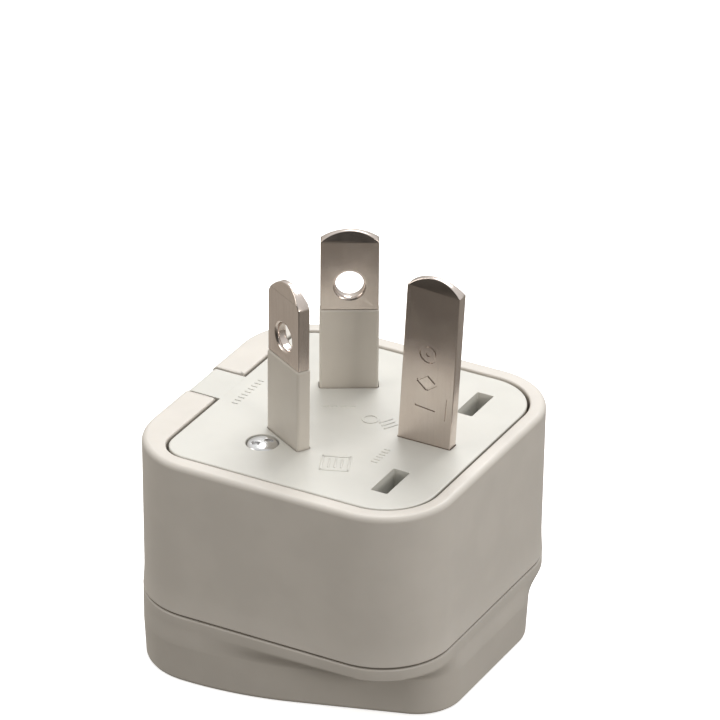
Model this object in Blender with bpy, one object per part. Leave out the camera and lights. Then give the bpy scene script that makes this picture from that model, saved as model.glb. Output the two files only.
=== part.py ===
"""Earthed travel adapter: three flat pins on top, a universal socket underneath.

Every length below is in millimetres, and to_metres() turns it into Blender's metres. X runs
towards the earth pin, Z up through the pins, and z = 0 is the socket face, on which the adapter
stands. The middle of the housing is on the Z axis.
"""

import math

import bmesh
import bpy

MM = 0.001
ARC_STEPS = 10
FIT_GAP = 0.3

# Housing outline. The walls lean out a little towards the rim and flare at the seam.
BODY_LENGTH = 37.85
BODY_WIDTH = 37.7
BODY_HEIGHT = 27.95
CORNER_RADIUS = 8.45
SHELL_WALL = 1.8
SHELL_LEAN = 0.17
SHELL_FLARE = 0.19
FLARE_HEIGHT = 3.0
RIM_FILLET = 0.68

# Foot of the socket base: full width behind its knee, narrower towards the earth pin
FOOT_BACK_X = -18.57
FOOT_BACK_HALF = 18.95
FOOT_KNEE_X = -3.6
FOOT_FRONT_X = 19.08
FOOT_FRONT_HALF = 11.5
FOOT_RADII = (8.0, 42.0, 5.8)
FOOT_FILLET = 0.6
FOOT_LEAN = 0.24
SWEEP_BOTTOM = 4.75
SWEEP_TOP = 7.15
SWEEP_STEPS = 10
COLLAR_PROUD = 0.1
COLLAR_TOP = 8.55
SEAM = 0.25
SPIGOT_TOP = 11.0
SPIGOT_WALL = 0.8
FACE_THICKNESS = 2.2
ROOM_X = (-16.2, 16.2)
ROOM_BACK_HALF = 15.9
ROOM_KNEE_X = 1.0
ROOM_FRONT_HALF = 9.8
ROOM_RADII = (4.0, 8.0, 3.2)
ROOM_STEP = 0.7
SHUTTER_ROOM_TOP = 6.9

# Opening in the rim, and the plug plate in it
PLATE_BACK_X = -15.0
PLATE_FRONT_X = 17.3
PLATE_HALF = 16.95
PLATE_RADII = (6.6, 3.5)
PLATE_TOP = 27.85
PLATE_BOTTOM = 25.3
PLATE_GAP = 0.32
LEDGE = 1.2
LEDGE_TOP = 25.05
LEDGE_BOTTOM = 23.4
OPENING_CHAMFER = 0.25
TAB_SIDES = (-2.85, 3.05)
NOTCH_SIDES = (-3.2, 3.2)
WINDOW_X = 11.2
WINDOW_Y = 10.1
WINDOW_SIZE = (2.05, 5.4)
TONGUE_X = (12.55, 13.5)
BARB_X = (10.7, 12.8)
TONGUE_HALF = 2.2
TONGUE_Z = (22.0, 22.9)

# Flat pins, near the Australian and New Zealand pattern; heights are above the plate
EARTH_X = 10.38
EARTH_LEAN = 2.8
EARTH_HEIGHTS = (19.3, 20.75)
LINE_PLACE = (-3.48, 7.2)
LINE_HEIGHTS = (18.6, 19.8)
NEUTRAL_PLACE = (-3.4, -7.0)
NEUTRAL_HEIGHTS = (17.4, 19.5)
BLADE_TURN = 30.0
PIN_WIDTH = 6.6
PIN_THICKNESS = 1.45
TIP_BEVEL_HEIGHT = 1.4
TIP_BEVEL_DEPTH = 0.42
LINE_HOLE_HEIGHT = 13.1
NEUTRAL_HOLE_HEIGHT = 12.9
PIN_HOLE_RADIUS = 1.95
EARTH_BLADE_BOTTOM = 0.2
NECK_WIDTH = 5.2
NECK_THICKNESS = 0.8
EARTH_ROOT = (6.2, 1.2)
EARTH_FLANGE_WIDTH = 7.6
EARTH_ROOT_TOP = 28.5
TENON_HALF = 0.8
EARTH_TENON_HALF = 1.5
SLEEVE_TOP = 37.8
SLEEVE_BOTTOM = 23.8
SLEEVE_WIDTH = 6.75
SLEEVE_THICKNESS = 1.75
SLOT_GAP = 0.13
FLANGE_TOP = 25.0
FLANGE_WIDTH = 8.6
SLEEVE_FLANGE_HALF = 1.35
TENON_BOTTOM = 22.5
SHOULDER_BOTTOM = 23.5

# Screws that hold the plate
SCREW_X = -5.4
SCREW_Y = {"line": 9.65, "neutral": -9.43}
SCREW_HEAD_RADIUS = 1.8
SCREW_HEAD_GAP = 0.1
SCREW_SEAT_Z = 26.8
SCREW_HEAD_Z = (27.1, 28.0)
SCREW_SHANK_RADIUS = 1.0
SCREW_TIP_Z = 13.5

# Socket apertures
POLE_X = -11.6
ROUND_HOLE_Y = 9.5
ROUND_HOLE_RADIUS = 2.6
WIDE_SLOT_X = 2.2
WIDE_SLOT_Y = (7.7, 14.5)
BLADE_SLOT_Y = 6.35
BLADE_SLOT_SIZE = (6.6, 1.8)
EARTH_ROUND_X = 0.3
EARTH_WIDE_X = (6.5, 14.7)
EARTH_WIDE_HALF = 2.2
EARTH_BLADE_HALF = 1.0

# Safety shutter
SHUTTER_TRAVEL = 7.1
PADDLE_X = (-15.2, -8.1)
PADDLE_Y = (4.2, 14.8)
SHUTTER_Z = (2.5, 6.6)
SPRING_STOP_X = 5.6
SPRING_RADIUS = 1.1
SPRING_WIRE = 0.2
SPRING_TURNS = 7
SPRING_Y = 8.6
SPRING_Z = 4.5
COVER_Z = (7.2, 8.3)

# Carrier and contacts
CARRIER_Z = (8.7, 21.6)
CARRIER_X = (-15.4, 15.4)
CARRIER_BACK_HALF = 15.1
CARRIER_KNEE_X = -2.9
CARRIER_FRONT_HALF = 10.2
CARRIER_RADII = (4.0, 12.0, 3.0)
RELIEF_DEPTH = 1.5
SIDE_RELIEF = (-7.6, -1.0, 11.4, 14.2)
INNER_RELIEF = (-7.6, -2.6, 3.2, 6.6)
FRONT_RELIEF = (-0.4, 8.0, 4.2, 12.0)
POST_X = (8.3, 9.5)
LUG_X = (9.2, 11.9)
LUG_Z = (23.3, 24.5)
POCKET_HALF = 3.0
POCKET_Y = (4.45, 14.5)
EARTH_POCKET_X = (-2.1, 14.8)
CONTACT_Z = (9.4, 21.9)
CONTACT_THICKNESS = 0.5
CONTACT_SPREAD = 2.35
CONTACT_THROAT = 1.95
POLE_CONTACT_Y = (4.75, 13.9)
EARTH_CONTACT_X = (-1.6, 14.4)
EAR_HALF = 4.1
EAR_Z = (21.9, 22.4)
LINK_Z = (22.7, 23.2)
RIVET_RADIUS = 0.7
RIVET_HOLE = 1.0
RIVET_HEAD = 1.35
POLE_RIVET_Y = 6.3
EARTH_RIVET_X = 4.9


# ---------------------------------------------------------------- materials

def material(name, colour, roughness, metallic=0.0):
    """A Principled material."""
    mat = bpy.data.materials.new(name)
    mat.use_nodes = True
    mat.diffuse_color = (*colour, 1.0)
    shader = mat.node_tree.nodes["Principled BSDF"]
    shader.inputs["Base Color"].default_value = (*colour, 1.0)
    shader.inputs["Roughness"].default_value = roughness
    shader.inputs["Metallic"].default_value = metallic
    return mat


def housing_plastic():
    return material("housing_plastic", (0.56, 0.53, 0.47), 0.45)


def plate_plastic():
    return material("plate_plastic", (0.60, 0.58, 0.52), 0.42)


def sleeve_plastic():
    return material("sleeve_plastic", (0.55, 0.53, 0.47), 0.4)


def white_plastic():
    return material("white_plastic", (0.75, 0.75, 0.72), 0.5)


def nickel():
    return material("nickel_plate", (0.66, 0.63, 0.58), 0.22, 1.0)


def brass():
    return material("spring_brass", (0.72, 0.52, 0.25), 0.3, 1.0)


def steel():
    return material("zinc_steel", (0.62, 0.63, 0.65), 0.28, 1.0)


# ---------------------------------------------------------------- outlines

def unit(ax, ay, bx, by):
    """Direction from one point to another, and the distance."""
    length = math.hypot(bx - ax, by - ay)
    return (bx - ax) / length, (by - ay) / length, length


def rounded(corners, radii, steps=ARC_STEPS):
    """Anticlockwise outline with each corner replaced by an arc of its own radius."""
    outline = []
    for i, (cx, cy) in enumerate(corners):
        px, py = corners[i - 1]
        nx, ny = corners[(i + 1) % len(corners)]
        ax, ay, _ = unit(cx, cy, px, py)
        bx, by, _ = unit(cx, cy, nx, ny)
        half = 0.5 * math.acos(max(-1.0, min(1.0, ax * bx + ay * by)))
        reach = radii[i] / math.sin(half)
        mx, my, _ = unit(0.0, 0.0, ax + bx, ay + by)
        centre = (cx + mx * reach, cy + my * reach)
        back = radii[i] / math.tan(half)
        start = math.atan2(cy + ay * back - centre[1], cx + ax * back - centre[0])
        turn = math.pi - 2.0 * half
        for k in range(steps + 1):
            angle = start + turn * k / steps
            outline.append((centre[0] + radii[i] * math.cos(angle),
                            centre[1] + radii[i] * math.sin(angle)))
    return outline


def inset_corners(corners, distance):
    """Corners of an anticlockwise convex outline with every side moved inwards."""
    moved = []
    count = len(corners)
    for i in range(count):
        ax, ay, _ = unit(*corners[i - 1], *corners[i])
        bx, by, _ = unit(*corners[i], *corners[(i + 1) % count])
        cross = ax * by - ay * bx
        shift = distance / cross
        moved.append((corners[i][0] + (bx - ax) * shift, corners[i][1] + (by - ay) * shift))
    return moved


def rounded_inset(corners, radii, distance, steps=ARC_STEPS):
    """A rounded outline moved inwards, with its arcs kept concentric."""
    smaller = [max(r - distance, 0.25) for r in radii]
    return rounded(inset_corners(corners, distance), smaller, steps)


def rectangle(x0, x1, y0, y1):
    """Corners of a rectangle, anticlockwise from its front right."""
    return [(x1, y0), (x1, y1), (x0, y1), (x0, y0)]


def turned(points, angle, cx=0.0, cy=0.0):
    """Points turned about the origin by an angle in degrees, then moved."""
    c, s = math.cos(math.radians(angle)), math.sin(math.radians(angle))
    return [(cx + x * c - y * s, cy + x * s + y * c) for x, y in points]


def circle(radius, cx=0.0, cy=0.0, count=24):
    """A round outline."""
    return [(cx + radius * math.cos(math.tau * k / count),
             cy + radius * math.sin(math.tau * k / count)) for k in range(count)]


def mirrored(points):
    """The same outline on the other side of the XZ plane, still anticlockwise."""
    return [(x, -y) for x, y in reversed(points)]


# ---------------------------------------------------------------- solids

def to_metres(point):
    return tuple(v * MM for v in point)


def new_object(name, mesh_edit, mat=None):
    """An object whose mesh the given function fills in."""
    mesh = bpy.data.meshes.new(name)
    bm = bmesh.new()
    mesh_edit(bm)
    bmesh.ops.recalc_face_normals(bm, faces=bm.faces)
    bm.to_mesh(mesh)
    bm.free()
    mesh.shade_smooth()
    mesh.set_sharp_from_angle(angle=math.radians(30))
    obj = bpy.data.objects.new(name, mesh)
    bpy.context.scene.collection.objects.link(obj)
    if mat:
        mesh.materials.append(mat)
    return obj


def loft(name, rings, mat=None):
    """A closed solid through horizontal rings, each an outline and its height."""
    def edit(bm):
        loops = [[bm.verts.new(to_metres((x, y, z))) for x, y in outline] for outline, z in rings]
        count = len(loops[0])
        for low, high in zip(loops, loops[1:]):
            for k in range(count):
                n = (k + 1) % count
                bm.faces.new((low[k], low[n], high[n], high[k]))
        bm.faces.new(list(reversed(loops[0])))
        bm.faces.new(loops[-1])
    return new_object(name, edit, mat)


def prism(name, outline, z0, z1, mat=None):
    """An outline raised from one height to another."""
    return loft(name, [(outline, z0), (outline, z1)], mat)


def upright(obj, x=0.0, y=0.0, turn=0.0, z=0.0, lean=0.0):
    """Stands a flat solid up: its Y becomes height, then it turns about Z and leans towards X."""
    obj.rotation_mode = "XZY"
    obj.rotation_euler = (math.radians(90), math.radians(lean), math.radians(turn))
    obj.location = to_metres((x, y, z))
    return obj


def combine(target, other, operation):
    """A Boolean with a hidden helper."""
    other.hide_render = True
    other.display_type = "WIRE"
    mod = target.modifiers.new(operation.lower() + "_" + other.name, "BOOLEAN")
    mod.operation = operation
    mod.solver = "EXACT"
    mod.object = other


def cut(target, *others):
    for other in others:
        combine(target, other, "DIFFERENCE")


def join(target, *others):
    for other in others:
        combine(target, other, "UNION")


def round_rod(name, sections, mat=None, count=20):
    """A turned solid on the Z axis from (radius, height) pairs, bottom to top."""
    rings = [(circle(radius, count=count), z) for radius, z in sections]
    return loft(name, rings, mat)


def at(obj, x, y):
    obj.location = to_metres((x, y, 0.0))
    return obj


# ---------------------------------------------------------------- housing

def body_corners():
    return rectangle(-BODY_LENGTH / 2, BODY_LENGTH / 2, -BODY_WIDTH / 2, BODY_WIDTH / 2)


def body_outline(inset):
    return rounded_inset(body_corners(), [CORNER_RADIUS] * 4, inset)


def foot_outline(inset):
    """The foot's outline: back corners, a wide knee on each side and the front corners."""
    corners = [(FOOT_FRONT_X, -FOOT_FRONT_HALF), (FOOT_FRONT_X, FOOT_FRONT_HALF),
               (FOOT_KNEE_X, FOOT_BACK_HALF), (FOOT_BACK_X, FOOT_BACK_HALF),
               (FOOT_BACK_X, -FOOT_BACK_HALF), (FOOT_KNEE_X, -FOOT_BACK_HALF)]
    back, knee, front = FOOT_RADII
    return rounded_inset(corners, [front, front, knee, back, back, knee], inset)


def room_outline(inset):
    """Outline of the room inside the foot."""
    back_x, front_x = ROOM_X
    corners = [(front_x, -ROOM_FRONT_HALF), (front_x, ROOM_FRONT_HALF),
               (ROOM_KNEE_X, ROOM_BACK_HALF), (back_x, ROOM_BACK_HALF),
               (back_x, -ROOM_BACK_HALF), (ROOM_KNEE_X, -ROOM_BACK_HALF)]
    back, knee, front = ROOM_RADII
    return rounded_inset(corners, [front, front, knee, back, back, knee], inset)


def plate_outline(inset):
    corners = rectangle(PLATE_BACK_X, PLATE_FRONT_X, -PLATE_HALF, PLATE_HALF)
    front, back = PLATE_RADII
    return rounded_inset(corners, [front, front, back, back], inset)


def fillet_rings(outline_at, z_end, radius, direction=1, count=4):
    """Rings that round an edge: the outline moves in as the height nears the end."""
    rings = []
    for k in range(count + 1):
        angle = math.radians(90.0 * k / count)
        rings.append((outline_at(radius * (1.0 - math.cos(angle))),
                      z_end - direction * radius * (1.0 - math.sin(angle))))
    return rings if direction > 0 else rings[::-1]


def shell_swell(z):
    """How far the shell's wall stands outside its nominal outline at a height."""
    rise = z - COLLAR_TOP - SEAM
    flare = max(0.0, 1.0 - rise / FLARE_HEIGHT) ** 1.5
    return SHELL_LEAN * rise / (BODY_HEIGHT - COLLAR_TOP - SEAM) + SHELL_FLARE * flare


def outer_shell():
    """Plug side housing: leaning walls, a rounded rim and a notch for the plate's tab."""
    bottom = COLLAR_TOP + SEAM
    edge = 0.12
    rings = [(body_outline(edge - SHELL_FLARE), bottom)]
    rings += [(body_outline(-shell_swell(z)), z)
              for z in (bottom + edge, bottom + FLARE_HEIGHT / 3, bottom + FLARE_HEIGHT)]
    rings += fillet_rings(lambda d: body_outline(d - SHELL_LEAN), BODY_HEIGHT, RIM_FILLET)
    shell = loft("outer_shell", rings, housing_plastic())
    cavity = prism("cut_shell_cavity", body_outline(SHELL_WALL), bottom - 1.0, LEDGE_BOTTOM)
    ledge = prism("cut_ledge_opening", plate_outline(LEDGE), LEDGE_BOTTOM - 1.0, LEDGE_TOP + 0.1)
    opening = loft("cut_plate_opening", [
        (plate_outline(0.0), LEDGE_TOP), (plate_outline(0.0), BODY_HEIGHT - OPENING_CHAMFER),
        (plate_outline(-OPENING_CHAMFER), BODY_HEIGHT),
        (plate_outline(-OPENING_CHAMFER), BODY_HEIGHT + 1.0)])
    notch = prism("cut_tab_notch",
                  rectangle(-BODY_LENGTH / 2 - 1.0, PLATE_BACK_X + 0.5, *NOTCH_SIDES),
                  LEDGE_TOP, BODY_HEIGHT + 1.0)
    cut(shell, cavity, ledge, opening, notch)
    return shell


def on_rays(outline, angles):
    """The outline's points where rays from the Z axis cross it."""
    points = []
    for angle in angles:
        c, s = math.cos(angle), math.sin(angle)
        reach = 0.0
        for (ax, ay), (bx, by) in zip(outline, outline[1:] + outline[:1]):
            before, after = ay * c - ax * s, by * c - bx * s
            if (before <= 0.0) != (after <= 0.0):
                t = before / (before - after)
                reach = max(reach, (ax + (bx - ax) * t) * c + (ay + (by - ay) * t) * s)
        points.append((reach * c, reach * s))
    return points


def shared_angles(*outlines):
    """Directions of all the outlines' points, thinned to at least a degree apart."""
    found = sorted(math.atan2(y, x) for outline in outlines for x, y in outline)
    kept = [found[0]]
    for angle in found:
        if math.degrees(angle - kept[-1]) > 1.0:
            kept.append(angle)
    return kept


def foot_rings():
    """Foot and collar from bottom to top: rounded edge, leaning wall, S-shaped sweep, collar."""
    angles = shared_angles(foot_outline(0.0), body_outline(0.0))
    rings = fillet_rings(foot_outline, 0.0, FOOT_FILLET, direction=-1)
    below = on_rays(foot_outline(-FOOT_LEAN), angles)
    above = on_rays(body_outline(-COLLAR_PROUD), angles)
    rings = [(on_rays(outline, angles), z) for outline, z in rings]
    for k in range(SWEEP_STEPS + 1):
        t = k / SWEEP_STEPS
        blend = t * t * (3.0 - 2.0 * t)
        rings.append(([(lx + (hx - lx) * blend, ly + (hy - ly) * blend)
                       for (lx, ly), (hx, hy) in zip(below, above)],
                      SWEEP_BOTTOM + (SWEEP_TOP - SWEEP_BOTTOM) * t))
    edge = 0.14
    for inset, drop in ((0.0, edge), (0.04, 0.04), (edge, 0.0)):
        rings.append((on_rays(body_outline(inset - COLLAR_PROUD), angles), COLLAR_TOP - drop))
    return rings


def socket_base():
    """Socket side housing: face with universal apertures, tapered foot, collar and spigot."""
    base = loft("socket_base", foot_rings(), housing_plastic())
    spigot = prism("add_spigot", body_outline(SHELL_WALL + FIT_GAP), COLLAR_TOP - 0.5, SPIGOT_TOP)
    join(base, spigot)
    bore = prism("cut_spigot", body_outline(SHELL_WALL + FIT_GAP + SPIGOT_WALL),
                 COLLAR_TOP, SPIGOT_TOP + 1.0)
    cover_room = prism("cut_cover_room", room_outline(0.0), SHUTTER_ROOM_TOP, COLLAR_TOP + 0.05)
    shutter_room = prism("cut_shutter_room", room_outline(ROOM_STEP), FACE_THICKNESS,
                         SHUTTER_ROOM_TOP + 0.1)
    cut(base, bore, cover_room, shutter_room)
    for side in (-1, 1):
        stop = prism("add_spring_stop_%d" % side,
                     rectangle(SPRING_STOP_X, SPRING_STOP_X + 1.4,
                               side * SPRING_Y - 1.6, side * SPRING_Y + 1.6),
                     FACE_THICKNESS - 0.5, SHUTTER_Z[1] - FIT_GAP)
        join(base, stop)
    cut_apertures(base, "face", -1.0, FACE_THICKNESS + 0.05)
    return base


def cut_apertures(target, label, z0, z1):
    """Cuts the universal pattern: two line and neutral clusters and one long earth slot."""
    blade_x, blade_y = BLADE_SLOT_SIZE
    blade = rectangle(-blade_x / 2, blade_x / 2, -blade_y / 2, blade_y / 2)
    wide = rectangle(POLE_X - WIDE_SLOT_X, POLE_X + WIDE_SLOT_X, *WIDE_SLOT_Y)
    shapes = {
        "round": circle(ROUND_HOLE_RADIUS, POLE_X, ROUND_HOLE_Y),
        "wide": rounded(wide, [0.4] * 4, 2),
        "blade": turned(blade, 0.0, POLE_X, BLADE_SLOT_Y),
        "slant": turned(blade, BLADE_TURN, POLE_X, BLADE_SLOT_Y + 0.5),
    }
    for kind, outline in shapes.items():
        for side in (-1, 1):
            outline_here = outline if side > 0 else mirrored(outline)
            cut(target, prism("cut_%s_%s_%d" % (label, kind, side), outline_here, z0, z1))
    earth = {
        "earth_round": circle(ROUND_HOLE_RADIUS, EARTH_ROUND_X, 0.0),
        "earth_blade": rectangle(EARTH_ROUND_X, EARTH_WIDE_X[0] + 1.0,
                                 -EARTH_BLADE_HALF, EARTH_BLADE_HALF),
        "earth_wide": rounded(rectangle(*EARTH_WIDE_X, -EARTH_WIDE_HALF, EARTH_WIDE_HALF),
                              [0.4] * 4, 2),
    }
    for kind, outline in earth.items():
        cut(target, prism("cut_%s_%s" % (label, kind), outline, z0, z1))


# ---------------------------------------------------------------- plug plate

def tab_profile():
    """Side view of the tab: it carries the rim's rounding across the notch."""
    end = 0.12 - BODY_LENGTH / 2 - SHELL_LEAN
    height = PLATE_TOP - 0.05
    points = [(PLATE_BACK_X + 1.5, PLATE_BOTTOM), (PLATE_BACK_X + 1.5, height)]
    for k in range(5):
        angle = math.radians(90.0 + 90.0 * k / 4)
        points.append((end + RIM_FILLET * (1.0 + math.cos(angle)),
                       height - RIM_FILLET * (1.0 - math.sin(angle))))
    points.append((end, PLATE_BOTTOM))
    return points


def slot_outline(width, thickness, turn, x, y):
    """A slot round a flat pin or sleeve of the given size."""
    half_x, half_y = width / 2 + SLOT_GAP, thickness / 2 + SLOT_GAP
    return turned(rectangle(-half_x, half_x, -half_y, half_y), turn, x, y)


def plug_plate():
    """Plate that carries the pins, with a tab, two tooling windows and two snap hooks."""
    rings = [(plate_outline(PLATE_GAP), PLATE_BOTTOM)]
    rings += fillet_rings(lambda d: plate_outline(PLATE_GAP + d), PLATE_TOP, 0.2, count=2)
    plate = loft("plug_plate", rings, plate_plastic())
    tab = upright(prism("add_tab", tab_profile(), -TAB_SIDES[1], -TAB_SIDES[0]))
    join(plate, tab)
    low, high = PLATE_BOTTOM - 0.5, PLATE_TOP + 1.0
    half_x, half_y = WINDOW_SIZE[0] / 2, WINDOW_SIZE[1] / 2
    for side in (-1, 1):
        middle = side * WINDOW_Y
        tongue_y = (middle - TONGUE_HALF, middle + TONGUE_HALF)
        tongue = prism("add_tongue_%d" % side, rectangle(*TONGUE_X, *tongue_y), TONGUE_Z[0],
                       PLATE_BOTTOM + 0.4)
        barb = prism("add_barb_%d" % side, rectangle(*BARB_X, *tongue_y), *TONGUE_Z)
        join(plate, tongue, barb)
        window = rectangle(WINDOW_X - half_x, WINDOW_X + half_x, middle - half_y, middle + half_y)
        cut(plate, prism("cut_window_%d" % side, window, low, high))
    shank, head = SCREW_SHANK_RADIUS + FIT_GAP, SCREW_HEAD_RADIUS + SCREW_HEAD_GAP
    for name, x, y, turn in (("line", *LINE_PLACE, BLADE_TURN),
                             ("neutral", *NEUTRAL_PLACE, -BLADE_TURN)):
        hole = round_rod("cut_%s_screw_hole" % name, [
            (shank, low), (shank, SCREW_SEAT_Z), (head, SCREW_SEAT_Z), (head, high)])
        cut(plate, at(hole, SCREW_X, SCREW_Y[name]))
        slot = slot_outline(SLEEVE_WIDTH, SLEEVE_THICKNESS, turn, x, y)
        cut(plate, prism("cut_%s_slot" % name, slot, low, high))
    earth = slot_outline(PIN_WIDTH, PIN_THICKNESS, 0.0, EARTH_X, 0.0)
    cut(plate, prism("cut_earth_slot", earth, low, high))
    return plate


# ---------------------------------------------------------------- pins and sleeves

def tip_outline(half_width, shoulder, peak, bottom):
    """Front view of a blade: upright sides and an arched tip from shoulder to shoulder."""
    rise = peak - shoulder
    radius = (half_width ** 2 + rise ** 2) / (2.0 * rise)
    spread = math.atan2(half_width, radius - rise)
    points = [(-half_width, bottom), (half_width, bottom)]
    for k in range(13):
        angle = math.pi / 2 - spread + 2.0 * spread * k / 12
        points.append((radius * math.cos(angle), peak - radius + radius * math.sin(angle)))
    return points


def blade(name, width, heights, bottom, place):
    """A flat pin's bare part, its tip sloped on both faces; heights are above the plate."""
    x, y, turn, lean = place
    half = PIN_THICKNESS / 2
    outline = tip_outline(width / 2, *heights, bottom)
    pin = prism("%s_pin" % name, outline, -half, half, nickel())
    upright(pin, x, y, turn, PLATE_TOP, lean)
    reach = 1.5
    start = heights[1] - TIP_BEVEL_HEIGHT
    for side in (-1, 1):
        slope = [(side * half, start), (side * (half + 1.0), start),
                 (side * (half + 1.0), start + reach * TIP_BEVEL_HEIGHT),
                 (side * (half - reach * TIP_BEVEL_DEPTH), start + reach * TIP_BEVEL_HEIGHT)]
        wedge = prism("cut_%s_tip_%d" % (name, side), slope, -width, width)
        cut(pin, upright(wedge, x, y, turn + 90.0, PLATE_TOP, lean))
    return pin


def earth_pin():
    """Longer pin, bare metal: leaning blade on a thinner root, with shoulders and a tenon."""
    pin = blade("earth", PIN_WIDTH, EARTH_HEIGHTS, EARTH_BLADE_BOTTOM,
                (EARTH_X, 0.0, 0.0, EARTH_LEAN))
    width, thickness = EARTH_ROOT
    half = thickness / 2
    root = prism("add_earth_root",
                 rectangle(-width / 2, width / 2, SHOULDER_BOTTOM, EARTH_ROOT_TOP), -half, half)
    flange = prism("add_earth_flange",
                   rectangle(-EARTH_FLANGE_WIDTH / 2, EARTH_FLANGE_WIDTH / 2, SHOULDER_BOTTOM,
                             FLANGE_TOP), -half, half)
    tenon = prism("add_earth_tenon", rectangle(-EARTH_TENON_HALF, EARTH_TENON_HALF, TENON_BOTTOM,
                                               SHOULDER_BOTTOM + 0.5), -half, half)
    join(pin, upright(root, EARTH_X), upright(flange, EARTH_X), upright(tenon, EARTH_X))
    return pin


def pole_pin(name, x, y, turn, heights, hole_height):
    """Shorter pin: a bare drilled tip on a narrow neck that the sleeve covers."""
    pin = blade(name, PIN_WIDTH, heights, SLEEVE_TOP + 0.15 - PLATE_TOP, (x, y, turn, 0.0))
    half = NECK_THICKNESS / 2
    neck = prism("add_%s_neck" % name,
                 rectangle(-NECK_WIDTH / 2, NECK_WIDTH / 2, SHOULDER_BOTTOM, SLEEVE_TOP + 0.6),
                 -half, half)
    tenon = prism("add_%s_tenon" % name,
                  rectangle(-TENON_HALF, TENON_HALF, TENON_BOTTOM, SHOULDER_BOTTOM + 0.5),
                  0.05 - half, half - 0.05)
    join(pin, upright(neck, x, y, turn), upright(tenon, x, y, turn))
    hole = prism("cut_%s_hole" % name, circle(PIN_HOLE_RADIUS, 0.0, hole_height, 28), -3.0, 3.0)
    cut(pin, upright(hole, x, y, turn, PLATE_TOP))
    return pin


def pole_sleeve(name, x, y, turn):
    """Insulating sleeve moulded round a pin's neck, with a flange under the plate."""
    body = rectangle(-SLEEVE_WIDTH / 2, SLEEVE_WIDTH / 2, -SLEEVE_THICKNESS / 2,
                     SLEEVE_THICKNESS / 2)
    flange = rectangle(-FLANGE_WIDTH / 2, FLANGE_WIDTH / 2, -SLEEVE_FLANGE_HALF,
                       SLEEVE_FLANGE_HALF)
    clear = 0.12
    inner = rectangle(-NECK_WIDTH / 2 - clear, NECK_WIDTH / 2 + clear,
                      -NECK_THICKNESS / 2 - clear, NECK_THICKNESS / 2 + clear)
    sleeve = prism("%s_pin_sleeve" % name, rounded(turned(body, turn, x, y), [0.25] * 4, 2),
                   SLEEVE_BOTTOM + 0.5, SLEEVE_TOP, sleeve_plastic())
    join(sleeve, prism("add_%s_sleeve_flange" % name, turned(flange, turn, x, y),
                       SLEEVE_BOTTOM, FLANGE_TOP))
    cut(sleeve, prism("cut_%s_sleeve" % name, turned(inner, turn, x, y), SLEEVE_BOTTOM - 1.0,
                      SLEEVE_TOP + 1.0))
    return sleeve


def plate_screw(name):
    """Screw with a one-way head, through the plate into the carrier."""
    low, high = SCREW_HEAD_Z
    y = SCREW_Y[name]
    screw = round_rod("plate_screw_%s" % name, [
        (0.4, SCREW_TIP_Z), (SCREW_SHANK_RADIUS, SCREW_TIP_Z + 1.4), (SCREW_SHANK_RADIUS, low),
        (SCREW_HEAD_RADIUS, low), (SCREW_HEAD_RADIUS, high - 0.25),
        (SCREW_HEAD_RADIUS - 0.3, high)], steel())
    slot = rectangle(-3.0, 3.0, -0.25, 0.25)
    cut(screw, at(prism("cut_%s_screw_slot" % name, turned(slot, 35.0), high - 0.35, high + 1.0),
                  SCREW_X, y))
    return at(screw, SCREW_X, y)


# ---------------------------------------------------------------- carrier and contacts

def carrier_corners():
    back, front = CARRIER_X
    return [(front, -CARRIER_FRONT_HALF), (front, CARRIER_FRONT_HALF),
            (CARRIER_KNEE_X, CARRIER_BACK_HALF), (back, CARRIER_BACK_HALF),
            (back, -CARRIER_BACK_HALF), (CARRIER_KNEE_X, -CARRIER_BACK_HALF)]


def contact_carrier():
    """Insulating block with a pocket for each contact, screw bosses and two catch posts."""
    back, knee, front = CARRIER_RADII
    outline = rounded(carrier_corners(), [front, front, knee, back, back, knee], 4)
    carrier = prism("contact_carrier", outline, *CARRIER_Z, white_plastic())
    low, high = CARRIER_Z
    boss = SCREW_SHANK_RADIUS + FIT_GAP
    reliefs = {"side": SIDE_RELIEF, "inner": INNER_RELIEF, "front": FRONT_RELIEF}
    for name, side in (("line", 1), ("neutral", -1)):
        pocket = rectangle(POLE_X - POCKET_HALF, POLE_X + POCKET_HALF, *POCKET_Y)
        if side < 0:
            pocket = mirrored(pocket)
        cut(carrier, prism("cut_pocket_%d" % side, pocket, low - 1.0, high + 1.0))
        hole = round_rod("cut_boss_%d" % side, [(boss, SCREW_TIP_Z - 0.6), (boss, high + 1.0)])
        cut(carrier, at(hole, SCREW_X, SCREW_Y[name]))
        for kind, extent in reliefs.items():
            relief = rectangle(*extent)
            if side < 0:
                relief = mirrored(relief)
            cut(carrier, prism("cut_%s_relief_%d" % (kind, side), relief, low + RELIEF_DEPTH,
                               high + 1.0))
        y0, y1 = sorted((side * (WINDOW_Y - 2.0), side * (WINDOW_Y + 1.2)))
        post = prism("add_post_%d" % side, rectangle(*POST_X, y0, y1), high - 1.0, LUG_Z[1])
        lug = prism("add_lug_%d" % side, rectangle(*LUG_X, y0, y1), *LUG_Z)
        join(carrier, post, lug)
    earth = rectangle(*EARTH_POCKET_X, -POCKET_HALF, POCKET_HALF)
    cut(carrier, prism("cut_earth_pocket", earth, low - 1.0, high + 1.0))
    return carrier


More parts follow.
